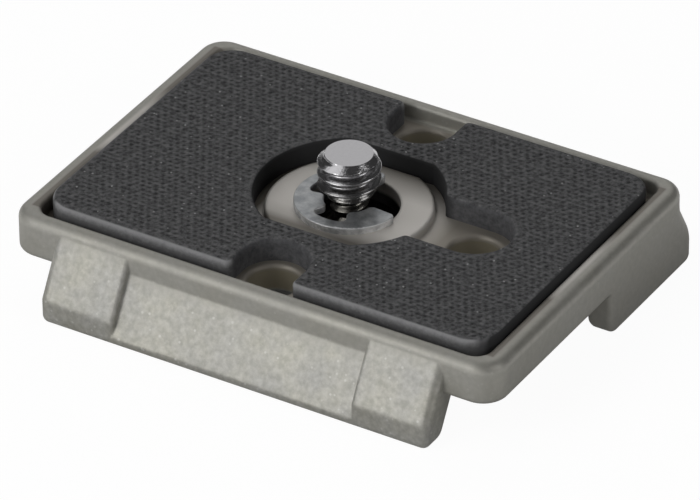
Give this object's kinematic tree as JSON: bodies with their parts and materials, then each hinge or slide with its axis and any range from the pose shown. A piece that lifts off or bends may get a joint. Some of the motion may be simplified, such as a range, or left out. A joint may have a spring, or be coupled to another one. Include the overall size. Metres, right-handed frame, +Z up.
{
  "type": "tripod quick release plate",
  "caption": "Rectangular die-cast quick release plate with dovetail legs, a rubber top pad and a captive camera screw that lifts, turns and carries a folding wire ring.",
  "frame": {"origin": "on the axis of the camera screw, level with the top of the rubber pad that the camera rests on", "axes": "+Z up along the screw towards the camera, +X along the long front edge towards the side channel, +Y from the front bar to the rear leg"},
  "size_m": [0.0528, 0.0419, 0.0138],
  "materials": {
    "cast_aluminium": "satin tumbled die casting",
    "pad_rubber": "matt with a fine woven grain",
    "plated_steel": "bright nickel plate",
    "spring_steel": "scuffed zinc plate",
    "steel_wire": "drawn plated wire"
  },
  "bodies": {
    "plate": {"plate_body": "cast_aluminium", "rubber_pad": "pad_rubber"},
    "clip": {"retaining_clip": "spring_steel"},
    "screw": {"camera_screw": "plated_steel"},
    "ring": {"d_ring": "steel_wire"}
  },
  "joints": [
    {"name": "screw_turn", "type": "hinge", "parent": "plate", "child": "clip", "pos_m": [0, 0, 0], "axis": [0, 0, 1], "continuous": true},
    {"name": "screw_lift", "type": "slide", "parent": "clip", "child": "screw", "axis": [0, 0, 1], "range_m": [0, 0.0008]},
    {"name": "ring_fold", "type": "hinge", "parent": "screw", "child": "ring", "pos_m": [0, 0, -0.007], "axis": [-1, 0, 0], "range_deg": [0, 180]}
  ]
}
